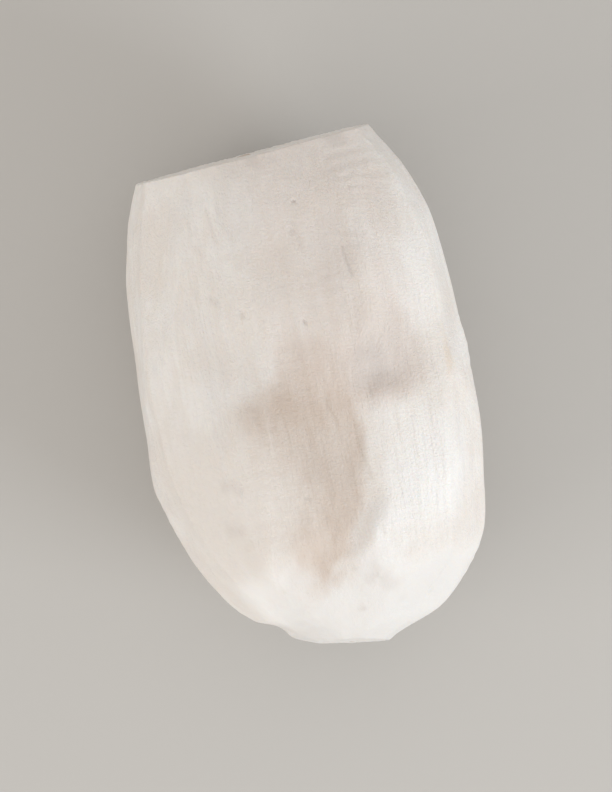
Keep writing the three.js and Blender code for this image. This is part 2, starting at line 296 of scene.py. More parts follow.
def hollow_share(x, s):
    """How far into the pared hollow a place on top is, from 0 outside to 1 at its deepest."""
    along = smoothstep(HOLLOW["from"], HOLLOW["full"], s)
    along *= 1 - smoothstep(HOLLOW["fade"], HOLLOW["to"], s)
    wall = wall_at(s)
    floor = HOLLOW["floor_at"] + HOLLOW["floor_slope"] * (s - HOLLOW["from"])
    floor = np.maximum(floor, HOLLOW["narrowest"])
    sinking = smoothstep(wall - floor, wall - HOLLOW["floor_share"] * floor, x)
    return along * sinking * (1 - smoothstep(wall, wall + HOLLOW["wall_width"], x))


def step_share(x, s):
    """How far the flesh is lowered above the knife stop on the right shoulder."""
    left = wall_at(s) + STEP["past_wall"]
    line = STEP["at"] - STEP["bow"] * (x - left)
    line = line + sum(height * np.sin(x / length) for height, length in STEP["wavers"])
    along = smoothstep(line, line + STEP["rise"], s)
    along *= 1 - smoothstep(line + STEP["fade_from"], STEP["fade"], s)
    across = smoothstep(*STEP["left"], x - left)
    return along * across * (1 - smoothstep(*STEP["right"], x))


def top_relief(x, s):
    return HOLLOW["depth"] * hollow_share(x, s) + STEP["depth"] * step_share(x, s)


def make_chips(seed, scale):
    """Where a rim is chipped: the angle, the chip's width as an angle, and its depth as a share."""
    draw = draws_from(seed)
    count = RIM_CHIPS["count"]
    chips = []
    for i in range(count):
        at = (i + RIM_CHIPS["uneven"] * next(draw)) / count * TURN
        wide = (RIM_CHIPS["narrow"] + RIM_CHIPS["varies"] * next(draw)) / scale
        chips.append((at, wide, next(draw)))
    return chips


def chip_share(chips, angle):
    """How deeply a rim is chipped."""
    share = np.zeros_like(angle)
    for at, wide, deep in chips:
        away = np.abs(turn_from(at, angle))
        share = np.maximum(share, deep * (1 - smoothstep(RIM_CHIPS["flat"] * wide, wide, away)))
    return share


TAIL_CHIPS = make_chips(RIM_CHIPS["seed"], TAIL_CUT["scale"])
HEAD_CHIPS = make_chips(RIM_CHIPS["seed"] + 1, HEAD_CUT["scale"])


def cut_at(end, x, up):
    """How far from the tail the plane of an end cut stands."""
    return end["base"] + end["tilt_x"] * x + end["tilt_z"] * up


def rim_at(end, angle):
    """Where the side meets an end cut, as a distance from the tail."""
    s = np.full_like(angle, end["base"])
    for _ in range(RIM_ROUNDS):
        radius = side_radius(angle, s)
        s = cut_at(end, radius * np.cos(angle), radius * np.sin(angle))
    return s


def side_points(angle, share):
    """Places of the side as (x, along, z), for angles and shares of the way from rim to rim."""
    tail_rim, head_rim = rim_at(TAIL_CUT, angle), rim_at(HEAD_CUT, angle)
    s = tail_rim + share * (head_rim - tail_rim)
    radius = side_radius(angle, s)
    for end, rim, chips in ((TAIL_CUT, tail_rim, TAIL_CHIPS), (HEAD_CUT, head_rim, HEAD_CHIPS)):
        near = np.maximum(0, 1 - np.abs(s - rim) / RIM_CHIPS["reach"])
        radius = radius - RIM_CHIPS["depth"] * end["scale"] * chip_share(chips, angle) * near**2
    x = radius * np.cos(angle)
    on_top = smoothstep(*ON_TOP, np.sin(angle))
    up = radius * np.sin(angle) - on_top * top_relief(x, s)
    return np.stack([x, s - LENGTH / 2, np.maximum(0, AXIS_HEIGHT + up)], axis=-1)


def cut_points(end, chips, rim, angle, share):
    """Places of a cut face inside its rim, for angles and shares of the way from its middle out."""
    x, up = rim[:, 0] * share, (rim[:, 2] - AXIS_HEIGHT) * share
    radius = np.hypot(x, up)

    def inside(across, edge):
        scaled = across * end["scale"]
        return 1 - smoothstep(edge[0] * scaled, edge[1] * scaled, radius)

    strand = CORE["proud"] * inside(CORE["across"], CORE["edge"])
    moat = CORE["moat"] * inside(CORE["moat_across"], CORE["moat_edge"])
    from_ring = np.abs(1 - GROWTH_RING["inset"] - share)
    ring = GROWTH_RING["depth"] * (1 - smoothstep(0, GROWTH_RING["wide"], from_ring))
    chip_depth = RIM_CHIPS["on_cut"] * RIM_CHIPS["depth"] * chip_share(chips, angle)
    chip = chip_depth * smoothstep(RIM_CHIPS["cut_from"], 1, share)
    s = cut_at(end, x, up) + end["inward"] * end["scale"] * (moat + ring + chip - strand)
    return np.stack([x, s - LENGTH / 2, AXIS_HEIGHT + up], axis=-1)


# -------- fine relief, in millimetres

COLUMNS = 400
SIDE_ROWS = 190
HEAD_RINGS = 34
TAIL_RINGS = 16
CLOSER_ROWS = 0.7  # how much closer together the rows of the side stand at its rims
CLOSER_RINGS = 1.15  # and the rings of a cut at its rim, where 1 would be even
RIM_EASING = {"passes": 2, "rows": 3}
FINE_SEED = 41
NOISE_REACH = 90  # how far from the origin the noise goes

LUMPS = {"cell": (9, 14, 9), "height": 0.34}
RIPPLES = {"cell": (4.2, 9, 4.2), "height": 0.16}
FIBRES = [
    {"cell": (2.8, 24, 2.8), "height": 0.13},
    {"cell": (1.5, 12, 1.5), "height": 0.12},
    {"cell": (1.0, 4, 1.0), "height": 0.07},
]
# How steeply the surface faces an end before the knife has left it smooth, and how much smoother.
END_FACING = (0.2, 0.7)
SMOOTHED = 0.75
CHATTER = {
    "pitch": 2.6, "height": 0.04, "patch": (9, 12, 9), "patch_from": (0.1, 0.5),
    "waver": 1.6, "waver_cell": (6, 7, 6),
}
# Between which distances from the tail nicks and pits lie, and over what range they lean.
MARKED = (7, 93)
MARK_LEAN = 0.4
NICKS = {"count": 26, "long": (3, 9), "wide": (0.35, 0.7), "deep": (0.1, 0.32), "ends": (0.25, 0.5)}
PITS = {"count": 40, "across": (0.8, 1.9), "deep": (0.15, 0.5), "floor": 0.1, "rim": 0.5}
# Inner skin stays where the knife went shallow, in patches.
SKIN = {
    "from": -0.1, "full": 0.3, "high": 0.1, "uneven": 0.25, "uneven_cell": (3, 11, 3), "less": 0.1,
    "patch": (7, 16, 7), "patch_from": (-0.1, 0.5),
}
# Woody threads laid bare in the hollow: x and s of both ends.
THREADS = [
    ((9.2, 46.0), (10.4, 31.5)), ((10.6, 23.0), (10.9, 20.4)), ((5.0, 52.0), (6.4, 43.0)),
    ((7.5, 14.0), (8.1, 12.4)), ((3.2, 16.6), (3.7, 15.2)),
]
THREAD = {"edge": (0.1, 0.5), "deep": 0.14, "bow": 0.22, "bows": 3}
CUT_LINES = {"pitch": 1.7, "height": 0.07, "turned": 0.5, "curved": 0.005}
RAYS = {"lobes": 72, "rings": 4, "height": 0.1, "from": (0.12, 0.4)}
# The relief of a cut grows with the distance from its middle, and fades beside its rim.
CUT_RELIEF = {"least": 0.35, "full_at": 18, "rim": 0.05}

# -------- changes in the flesh, and painted shade and light

# Changes lie between distances along s, along x or from the hollow's wall to the right. Two of them
# say between which a change comes in or goes out, and four say both.

# Noise makes the edges of the changes wander: the cells of its four fields, then how far they move
# edges across, and patches, and bruises with some painted shade, across and along.
WANDER_CELLS = ((5, 8, 5), (5, 9, 5), (2.2, 4, 2.2), (2.6, 3, 2.6))
WANDER_ACROSS = (1.8, 0.8)
WANDER_PATCHES = (1.2, 3)
WANDER_BRUISES_AND_SHADE = (1.6, 1.9)

# The stain of the hollow lies a little nearer the tail, and further left for a stretch. It is
# weaker past the wall and at both ends.
STAIN = {
    "nearer_tail": 2, "wander": 4, "leftward": 2.0, "leftward_along": (17, 22, 24, 30),
    "strength": 1.26, "past_wall": (-1.6, 2.2), "lost_past_wall": 0.76,
    "near_tail": (16, 24), "more_near_tail": 0.1, "deep_along": (10, 16, 47, 54), "shallow": 0.75,
    "fade": (55, 64), "fade_wander": 6,
}
# Stained patches beside the hollow: x and s, reach across and along, and how much they add.
STAIN_PATCHES = [
    (-5.5, 47.5, 12.0, 10.5, 0.55), (-8.5, 19.0, 10.0, 10.5, 0.42), (1.0, 13.2, 5.5, 5.0, 0.55),
    (-10.5, 26.5, 11.0, 8.0, 0.42), (-13.0, 38.5, 8.0, 8.0, 0.3),
]
# Patches of painted light, in the same terms.
LIGHT_PATCHES = [(-14.5, 53.0, 7.0, 8.0, 0.6), (-11.0, 10.5, 9.5, 6.0, 0.7)]
# Small grey bruises: x and s, size and strength. The fourth is painted shade above the knife stop.
BRUISES_AND_SHADE = [
    (-18.0, 27.5, 3.2, 1.0), (-16.5, 35.5, 2.4, 1.0), (3.5, 8.5, 2.2, 1.0), (14.0, 54.0, 6.5, 2.2),
    (10.5, 10.8, 3.4, 0.9), (6.5, 14.0, 3.4, 1.0),
]
BRUISE_AND_SHADE_CORE = 0.2
# Painted shade, warmer in tone, on the left of the top beside the hollow.
LEFT_SHADE = {"across": (-40, -34, -5, 2), "along": (15, 21, 40, 50), "wander": 3}
# Painted grey shade on the right of the top past the knife stop, lighter again towards the head.
SHADE_TOWARDS_HEAD = {"across": (-8, 3, 21, 29), "along": (45, 51), "paler_along": (56, 66), "paler": 0.45, "wander": 4}
# Painted light past the wall, below the knife stop.
LIGHT_PAST_WALL = {"past_wall": (3, 9), "along": (17, 25, 29, 44)}
# Painted shade above the knife stop, deepening the shading of the step itself.
SHOULDER = {"along": (48, 54, 58, 68), "wander": 3}
# Where the faces that the knife left towards the ends turn from painted light to painted shade.
END_SHADE_ACROSS = (-15, -8)


def solid_noise(rng, cell, points):
    """A smooth random field through space, from -1 to 1, whose cells have the size given."""
    place = (points + NOISE_REACH) / np.array(cell)
    counts = np.ceil(2 * NOISE_REACH / np.array(cell)).astype(int) + 2
    table = rng.random(counts) * 2 - 1
    corner = np.clip(np.floor(place).astype(int), 0, counts - 2)
    share = place - corner
    share = share * share * (3 - 2 * share)
    total = 0.0
    for i, j, k in np.ndindex(2, 2, 2):
        weight = np.prod(np.where([i, j, k], share, 1 - share), axis=-1)
        total = total + weight * table[corner[..., 0] + i, corner[..., 1] + j, corner[..., 2] + k]
    return total


def ray_noise(rng, angle, share):
    """A smooth random field over a cut, from -1 to 1, in rays from its middle."""
    lobes, rings = RAYS["lobes"], RAYS["rings"]
    table = rng.random((rings + 1, lobes)) * 2 - 1
    column, row = angle / TURN * lobes, share * rings
    left, low = np.floor(column).astype(int), np.floor(row).astype(int)
    across, along = column - left, row - low
    across, along = across**2 * (3 - 2 * across), along**2 * (3 - 2 * along)
    left, right = left % lobes, (left + 1) % lobes
    near = table[low, left] * (1 - across) + table[low, right] * across
    far = table[low + 1, left] * (1 - across) + table[low + 1, right] * across
    return near * (1 - along) + far * along


def between(rng, bounds):
    return bounds[0] + rng.random() * (bounds[1] - bounds[0])


def place_marks(rng, spec, keys):
    """Marks laid at random over the side, each with its own draw for every key."""
    marks = []
    for _ in range(spec["count"]):
        mark = {"at": rng.random() * TURN, "s": between(rng, MARKED), "lean": rng.random() - 0.5}
        mark |= {key: between(rng, spec[key]) for key in keys}
        marks.append(mark)
    return marks


def away_from(mark, angle, s, radius):
    """How far places are from a mark, across it and along it."""
    around = turn_from(mark["at"], angle) * radius
    along = s - mark["s"]
    return around + mark["lean"] * MARK_LEAN * along, along


def flesh_waves(rng, side, s, facing):
    """The lumps, ripples and fibres of the flesh, and the ribs of a chattering blade."""
    height = np.zeros_like(s)
    for layer in (LUMPS, RIPPLES, *FIBRES):
        height += layer["height"] * solid_noise(rng, layer["cell"], side)
    height *= 1 - SMOOTHED * facing
    patches = smoothstep(*CHATTER["patch_from"], solid_noise(rng, CHATTER["patch"], side))
    waver = CHATTER["waver"] * solid_noise(rng, CHATTER["waver_cell"], side)
    return height + CHATTER["height"] * np.sin(TURN * (s + waver) / CHATTER["pitch"]) * patches


def with_nicks_and_pits(rng, height, angle, s, radius):
    """The height with the knife's nicks and the small pits taken out of it."""
    for nick in place_marks(rng, NICKS, ("long", "wide", "deep")):
        around, along = away_from(nick, angle, s, radius)
        end = 1 - smoothstep(*NICKS["ends"], np.abs(along) / nick["long"])
        height -= nick["deep"] * end * (1 - smoothstep(0, nick["wide"], np.abs(around)))
    for pit in place_marks(rng, PITS, ("across", "deep")):
        away = np.hypot(*away_from(pit, angle, s, radius))
        height -= pit["deep"] * (1 - smoothstep(PITS["floor"], PITS["rim"] * pit["across"], away))
    return height


def skin_share(rng, side, angle, s):
    """Where the knife left some inner skin, from 0 to 1."""
    left_over = pared_radius(angle, s) - oval_radius(angle, s)
    left_over = left_over + SKIN["uneven"] * solid_noise(rng, SKIN["uneven_cell"], side) - SKIN["less"]
    patches = smoothstep(*SKIN["patch_from"], solid_noise(rng, SKIN["patch"], side))
    return smoothstep(SKIN["from"], SKIN["full"], left_over) * patches


def thread_share(x, s):
    """How near a place on top is to a woody thread, from 0 to 1 on it."""
    share = np.zeros_like(s)
    for (x0, s0), (x1, s1) in THREADS:
        run, rise = x1 - x0, s1 - s0
        along = np.clip(((x - x0) * run + (s - s0) * rise) / (run**2 + rise**2), 0, 1)
        bow = THREAD["bow"] * np.sin(THREAD["bows"] * math.pi * along)
        away = np.hypot(x - x0 - along * run - bow, s - s0 - along * rise)
        fade = 1 - (2 * along - 1) ** 4  # towards both ends
        share = np.maximum(share, fade * (1 - smoothstep(*THREAD["edge"], away)))
    return share


def side_relief(rng, side, angle, facing):
    """How far the side stands proud of the pared form, and where it has inner skin and threads."""
    s = side[..., 1] + LENGTH / 2
    radius = np.hypot(side[..., 0], side[..., 2] - AXIS_HEIGHT)
    height = flesh_waves(rng, side, s, facing)
    height = with_nicks_and_pits(rng, height, angle, s, radius)
    skin = skin_share(rng, side, angle, s)
    thread = np.sin(angle).clip(0) * thread_share(side[..., 0], s)
    return height + SKIN["high"] * skin - THREAD["deep"] * thread, skin, thread


def cut_relief(rng, end, angle, x, up, share):
    """How far a cut's face stands out of its plane, by knife lines and rays from its middle."""
    turned = x * math.cos(CUT_LINES["turned"]) + up * math.sin(CUT_LINES["turned"])
    bent = turned + CUT_LINES["curved"] * up * up
    height = CUT_LINES["height"] * np.sin(TURN * bent / CUT_LINES["pitch"])
    height += RAYS["height"] * ray_noise(rng, angle, share) * smoothstep(*RAYS["from"], share)
    grown = np.minimum(1, np.hypot(x, up) / CUT_RELIEF["full_at"])
    height *= CUT_RELIEF["least"] + (1 - CUT_RELIEF["least"]) * grown
    return -end["inward"] * end["scale"] * height * smoothstep(0, CUT_RELIEF["rim"], 1 - share)


def patch_share(patches, x, s):
    """How far a place is into soft round patches that lie over each other."""
    total = np.zeros_like(s)
    for x0, s0, across, along, adds in patches:
        total += adds * (1 - smoothstep(0, 1, np.hypot((x - x0) / across, (s - s0) / along)))
    return total


def bruise_and_shade_share(x, s):
    """How bruised a place on top is, with the painted shade above the knife stop."""
    shares = [
        strength * (1 - smoothstep(BRUISE_AND_SHADE_CORE, 1, np.hypot(x - x0, s - s0) / size))
        for x0, s0, size, strength in BRUISES_AND_SHADE
    ]
    return np.maximum.reduce(shares)


def stain_share(across, s, wander):
    """How stained the hollow is."""
    leftward = STAIN["leftward"] * within(STAIN["leftward_along"], s)
    hollow = hollow_share(across + leftward, s + STAIN["nearer_tail"] + STAIN["wander"] * wander)
    past_wall = smoothstep(*STAIN["past_wall"], across - wall_at(s))
    stained = hollow * (STAIN["strength"] - STAIN["lost_past_wall"] * past_wall)
    stained *= 1 + STAIN["more_near_tail"] * (1 - smoothstep(*STAIN["near_tail"], s))
    stained *= STAIN["shallow"] + (1 - STAIN["shallow"]) * within(STAIN["deep_along"], s)
    return stained * (1 - smoothstep(*STAIN["fade"], s + STAIN["fade_wander"] * wander))


def shade_towards_head_share(across, s):
    """How much painted shade lies on a place on top towards the head."""
    aged = smoothstep(*SHADE_TOWARDS_HEAD["along"], s) * within(SHADE_TOWARDS_HEAD["across"], across)
    return aged * (1 - SHADE_TOWARDS_HEAD["paler"] * smoothstep(*SHADE_TOWARDS_HEAD["paler_along"], s))


def side_marks(rng, side, angle, facing):
    """Where the flesh of the side is stained or bruised, and where shade and light are painted on it."""
    x, s = side[..., 0], side[..., 1] + LENGTH / 2
    top = smoothstep(*ON_TOP, np.sin(angle))
    wander = [solid_noise(rng, cell, side) for cell in WANDER_CELLS]
    across = x + WANDER_ACROSS[0] * wander[0] + WANDER_ACROSS[1] * wander[2]
    strayed = (across + WANDER_PATCHES[0] * wander[3], s + WANDER_PATCHES[1] * wander[1])
    stained = stain_share(across, s, wander[1]) + patch_share(STAIN_PATCHES, *strayed)
    left_shade_along = within(LEFT_SHADE["along"], s + LEFT_SHADE["wander"] * wander[1])
    past_wall = smoothstep(*LIGHT_PAST_WALL["past_wall"], across - wall_at(s))
    fresh = within(LIGHT_PAST_WALL["along"], s) * past_wall + patch_share(LIGHT_PATCHES, *strayed)
    shaded_side = smoothstep(*END_SHADE_ACROSS, x)
    shade = within(SHOULDER["along"], s + SHOULDER["wander"] * wander[1])
    bruise = bruise_and_shade_share(x + WANDER_BRUISES_AND_SHADE[0] * wander[2], s + WANDER_BRUISES_AND_SHADE[1] * wander[3])
    radius = np.hypot(x, side[..., 2] - AXIS_HEIGHT)
    return {
        "stain": top * stained,
        # Painted shade above the knife stop.
        "shoulder": top * step_share(across, s) * shade,
        # Painted shade, warmer in tone, on the left of the top.
        "warm": top * (within(LEFT_SHADE["across"], across) * left_shade_along),
        # Painted light past the wall, in the pale patches and on the left faces towards the ends.
        "fresh": top * np.maximum(fresh, facing * (1 - shaded_side)),
        # Painted shade on the right faces towards the ends.
        "dull": facing * shaded_side,
        # Bruises, and painted shade above the knife stop.
        "bruise": top * bruise,
        # Painted shade in the dent on the right shoulder.
        "dent": dent_share(DENTS[0], angle, s, radius),
        # Painted shade on the right of the top towards the head.
        "aged": top * shade_towards_head_share(across, s + SHADE_TOWARDS_HEAD["wander"] * wander[1]),
        "knife": facing,
        "cut": np.zeros_like(s),
        "reach": np.ones_like(s),
    }


def eased_shares(count, closer):
    """Shares of the way along the side, closer together near its rims."""
    t = np.linspace(0, 1, count + 1)
    return t - closer * np.sin(TURN * t) / TURN


def outward(rows):
    """Unit normals of a grid of rings, pointing out of the root."""
    along = np.gradient(rows, axis=0)
    around = np.roll(rows, -1, axis=1) - np.roll(rows, 1, axis=1)
    normal = np.cross(along, around)
    return normal / np.linalg.norm(normal, axis=-1, keepdims=True)


def side_rows(rng, round_angles):
    """The rings of the side, from the tail's rim to the head's, with their marks."""
    angle, share = np.meshgrid(round_angles, eased_shares(SIDE_ROWS, CLOSER_ROWS))
    side = side_points(angle, share)
    facing = smoothstep(*END_FACING, np.abs(outward(side)[..., 1]))
    relief, skin, thread = side_relief(rng, side, angle, facing)
    side = side + outward(side) * relief[..., None]
    side[..., 2] = np.maximum(0, side[..., 2])
    marks = side_marks(rng, side, angle, facing)
    return side, marks | {"skin": skin, "thread": thread}


def cut_rows(rng, round_angles, end, chips, rings, rim):
    """The rings of an end cut, from its middle out, with those of their marks that aren't nought."""
    shares = np.linspace(0, 1, rings + 2)[1:-1]
    angle, share = np.meshgrid(round_angles, 1 - (1 - shares) ** CLOSER_RINGS)
    cut = cut_points(end, chips, rim, angle, share)
    cut[..., 1] += cut_relief(rng, end, angle, cut[..., 0], cut[..., 2] - AXIS_HEIGHT, share)
    everywhere = np.ones_like(share)
    marks = {"knife": everywhere, "cut": everywhere, "reach": share}
    # Painted shade over the whole tail cut.
    if end is TAIL_CUT:
        marks["dull"] = everywhere
    return cut, marks


def root_rows():
    """The rows of the closed grid: each a ring of places in millimetres, with its marks."""
    rng = np.random.default_rng(FINE_SEED)
    round_angles = np.arange(COLUMNS) / COLUMNS * TURN
    side, side_values = side_rows(rng, round_angles)
    tail, tail_values = cut_rows(rng, round_angles, TAIL_CUT, TAIL_CHIPS, TAIL_RINGS, side[0])
    head, head_values = cut_rows(rng, round_angles, HEAD_CUT, HEAD_CHIPS, HEAD_RINGS, side[-1])
    marks = {}
    for name, values in side_values.items():
        before = tail_values.get(name, np.zeros(tail.shape[:2]))
        after = head_values.get(name, np.zeros(head.shape[:2]))
        marks[name] = np.concatenate([before, values, after[::-1]])
    return np.concatenate([tail, side, head[::-1]]), marks


def soften_rims(rows):
    """Eases the rows beside each rim together, so that it is crisp but not razor sharp."""
    beside = RIM_EASING["rows"]
    for rim in (TAIL_RINGS, TAIL_RINGS + SIDE_ROWS):
        first, last = rim - beside, rim + beside + 1
        for _ in range(RIM_EASING["passes"]):
            neighbours = rows[first - 1 : last - 1] + rows[first + 1 : last + 1]
            rows[first:last] = 0.5 * rows[first:last] + 0.25 * neighbours
    return rows


def with_poles(rows):
    """All values of the rows in one list, between the means of the first row and of the last."""
    flat = rows.reshape(-1, *rows.shape[2:])
    return np.concatenate([[rows[0].mean(axis=0)], flat, [rows[-1].mean(axis=0)]])


def fit_to_solid(points):
    """The points in the middle of the solid's box and on its floor, shrunk where they are too big."""
    low, high = (np.array(corner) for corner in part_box(ROOT_NODE))
    size = points.max(axis=0) - points.min(axis=0)
    shrink = np.minimum(1, (high - low) / size)
    points = (points - points.min(axis=0)) * shrink
    slack = (high - low - points.max(axis=0)) / 2
    return points + (low + slack * np.array([1, 1, 0]))


def root_faces(count):
    """The quads between so many rows, and a fan of triangles to the pole at each end."""
    index = 1 + np.arange(count * COLUMNS).reshape(count, COLUMNS)
    after = np.roll(index, -1, axis=1)
    quads = np.stack([index[:-1], index[1:], after[1:], after[:-1]], axis=-1).reshape(-1, 4)
    tail_fan = np.stack([np.zeros(COLUMNS, int), index[0], after[0]], axis=-1)
    head_fan = np.stack([index[-1], np.full(COLUMNS, index.size + 1), after[-1]], axis=-1)
    return quads.tolist() + tail_fan.tolist() + head_fan.tolist()


def root_mesh(name):
    """The closed mesh of the root, in metres, with its marks."""
    rows, marks = root_rows()
    points = fit_to_solid(with_poles(soften_rims(rows)) * MM)
    mesh = bpy.data.meshes.new(name)
    mesh.from_pydata(points.tolist(), [], root_faces(len(rows)))
    for mark, values in marks.items():
        layer = mesh.attributes.new(mark, "FLOAT", "POINT")
        layer.data.foreach_set("value", with_poles(values).astype(np.float32))
    mesh.polygons.foreach_set("use_smooth", [True] * len(mesh.polygons))
    mesh.update()
    return mesh


# -------- nodes

# The sockets of a colour mix, whose names other kinds of mix share.
MIX_A, MIX_B, MIX_RESULT = 6, 7, 2


class Nodes:
    """Short ways to add and join the nodes of one material or world."""

    def __init__(self, tree):
        self.tree = tree
        tree.nodes.clear()

    def add(self, kind, **settings):
        node = self.tree.nodes.new(kind)
        for name, value in settings.items():
            setattr(node, name, value)
        return node

    def feed(self, socket, value):
        if isinstance(value, bpy.types.NodeSocket):
            self.tree.links.new(value, socket)
        elif value is not None:
            socket.default_value = value

    def math(self, operation, a, b=None, c=None, clamp=False):
        node = self.add("ShaderNodeMath", operation=operation, use_clamp=clamp)
        for socket, value in zip(node.inputs, (a, b, c)):
            self.feed(socket, value)
        return node.outputs[0]

    def step(self, low, high, value):
        """A soft step from 0 to 1 as the value goes from low to high."""
        node = self.add("ShaderNodeMapRange", interpolation_type="SMOOTHSTEP")
        for socket, given in zip(node.inputs, (value, low, high, 0.0, 1.0)):
            self.feed(socket, given)
        return node.outputs["Result"]

    def mix(self, share, a, b):
        node = self.add("ShaderNodeMix", data_type="RGBA")
        for socket, value in (("Factor", share), (MIX_A, a), (MIX_B, b)):
            self.feed(node.inputs[socket], value)
        return node.outputs[MIX_RESULT]

    def noise(self, coordinates, scale, detail, roughness, stretch=(1, 1, 1)):
        mapping = self.add("ShaderNodeMapping")
        self.feed(mapping.inputs["Vector"], coordinates)
        mapping.inputs["Scale"].default_value = stretch
        node = self.add("ShaderNodeTexNoise")
        self.feed(node.inputs["Vector"], mapping.outputs["Vector"])
        for name, value in (("Scale", scale), ("Detail", detail), ("Roughness", roughness)):
            node.inputs[name].default_value = value
        return node.outputs["Fac"]

    def mark(self, name):
        return self.add("ShaderNodeAttribute", attribute_name=name).outputs["Fac"]

    def show(self, kind, shader):
        """Joins the shader to the output of the kind given."""
        self.feed(self.add(kind).inputs["Surface"], shader.outputs[0])


def rgba(colour):
    return (*colour, 1.0)


# -------- materials

# Noise in the flesh: its scale, detail, roughness and stretch.
FLESH_NOISE = {
    "cloud": (60.0, 4.0, 0.55),
    "blotch": (130.0, 3.0, 0.5, (1, 0.5, 1)),
    "grain": (1700.0, 4.0, 0.7),
    "fibre": (700.0, 4.0, 0.65, (1, 0.06, 1)),
    "streak": (330.0, 3.0, 0.6, (1, 0.07, 1)),
    "mottle": (190.0, 5.0, 0.65, (1, 0.3, 1)),
    "patchy": (260.0, 6.0, 0.68, (1, 0.55, 1)),
}
# Between which values of the noise, or shares of the way out from a cut's middle, things come in.
COMES_IN = {
    "cloud": (0.38, 0.66), "blotch": (0.46, 0.66), "streak": (0.5, 0.68), "fibre": (0.55, 0.75),
    "mottle": (0.25, 0.7), "stained_fibre": (0.56, 0.7), "skin_streak": (0.35, 0.6),
    "past_ring": (0.004, 0.028), "past_core": (0.04, 0.11),
}
# How much of a mark is left where the mottle takes the most from it.
LEFT_BY_MOTTLE = {"stain": 0.7, "aged": 0.65, "bruise": 0.6, "shoulder": 0.6, "dent": 0.4, "ring": 0.2}
# The stain is broken up: how far noise swings it, between which values it comes in, and its least.
BROKEN = {"swing": 2.0, "comes_in": (-0.1, 1.1), "least": 0.3}
# The tints that are laid over the flesh in turn: what each follows, its strength and its colour.
# Some tints are painted shade and light: the shade on the tail cut, on the right faces towards the ends,
# towards the head, on the left of the top, above the knife stop and in the shoulder's dent, and the light
# past the wall, in pale patches and on the left faces towards the ends. The tint for bruises is partly
# painted shade.
TINTS = (
    ("blotch", 0.45, "grey_cast"), ("streak", 0.3, "fibre"), ("fibre", 0.3, "fibre"),
    ("dull", 0.85, "end_face_shade"), ("fresh", 0.6, "fresh"), ("aged", 0.9, "aged"),
    ("warm", 0.9, "flesh_warm_and_shade"), ("bruise", 0.34, "bruise"), ("stain", 0.76, "stain"),
    ("stained_fibre", 0.2, "dark_fibre"), ("shoulder", 0.72, "bruise"), ("skin", 0.7, "inner_skin"),
    ("dent", 0.3, "bruise"), ("thread", 0.16, "dark_fibre"), ("ring", 0.4, "inner_skin"),
    ("core", 0.7, "dark_fibre"),
)
# The least roughness, and what the grain and the stain add.
ROUGH = {"least": 0.38, "by_grain": 0.25, "by_stain": 0.08}
# The bump in metres, what makes it, and how much of it is lost where the knife cut across.
BUMP = {"height": 0.00072, "fibre": 0.6, "grain": 0.4, "lost_to_knife": 0.8}
NOISE_MIDDLE = 0.5
GLOW_BY_COLOUR = (1.0, 0.72, 0.5)  # shares of the glow's depth for red, green and blue
FLESH_IOR = 1.38
FLOOR = {"noise": (3.0, 3.0, 0.5), "paler": 1.03, "rough": 0.85}


def start_material(name):
    """A new material, its nodes and the places on what carries it."""
    material = bpy.data.materials.new(name)
    material.use_nodes = True
    nodes = Nodes(material.node_tree)
    return material, nodes, nodes.add("ShaderNodeTexCoord").outputs["Object"]


def broken_stain(nodes, stain, patchy):
    """The stain, broken up by a patchy noise."""
    swing = nodes.math("SUBTRACT", patchy, NOISE_MIDDLE)
    uneven = nodes.step(*BROKEN["comes_in"], nodes.math("MULTIPLY_ADD", swing, BROKEN["swing"], stain))
    broken = nodes.math("MULTIPLY_ADD", uneven, 1 - BROKEN["least"], BROKEN["least"])
    return nodes.math("MULTIPLY", stain, broken)


def tint_shares(nodes, noise):
    """How far each tint goes at each place, before its strength."""

    def come_in(name, value):
        return nodes.step(*COMES_IN[name], value)

    def part_of(a, b):
        return nodes.math("MULTIPLY", a, b)

    def near(name, distance):
        return part_of(nodes.math("SUBTRACT", 1.0, come_in(name, distance)), nodes.mark("cut"))

    shares = {name: come_in(name, noise[name]) for name in ("blotch", "streak", "fibre")}
    for name in ("dull", "fresh", "aged", "warm", "bruise", "shoulder", "dent", "thread"):
        shares[name] = nodes.mark(name)
    stain, reach = nodes.mark("stain"), nodes.mark("reach")
    shares["stain"] = broken_stain(nodes, stain, noise["patchy"])
    shares["stained_fibre"] = part_of(stain, come_in("stained_fibre", noise["fibre"]))
    shares["skin"] = part_of(nodes.mark("skin"), come_in("skin_streak", noise["streak"]))
    from_ring = nodes.math("ABSOLUTE", nodes.math("SUBTRACT", reach, 1 - GROWTH_RING["inset"]))
    shares["ring"] = near("past_ring", from_ring)
    shares["core"] = near("past_core", reach)
    mottle = come_in("mottle", noise["mottle"])
    for name, least in LEFT_BY_MOTTLE.items():
        shares[name] = part_of(shares[name], nodes.math("MULTIPLY_ADD", mottle, 1 - least, least))
    return shares


def flesh_colour(nodes, noise, looks):
    """The creamy flesh with all its tints, painted shade and painted light among them."""
    cloud = nodes.step(*COMES_IN["cloud"], noise["cloud"])
    colour = nodes.mix(cloud, rgba(looks.flesh), rgba(looks.flesh_warm_and_shade))
    shares = tint_shares(nodes, noise)
    for name, strength, setting in TINTS:
        share = nodes.math("MULTIPLY", shares[name], strength, clamp=True)
        colour = nodes.mix(share, colour, rgba(getattr(looks, setting)))
    return colour


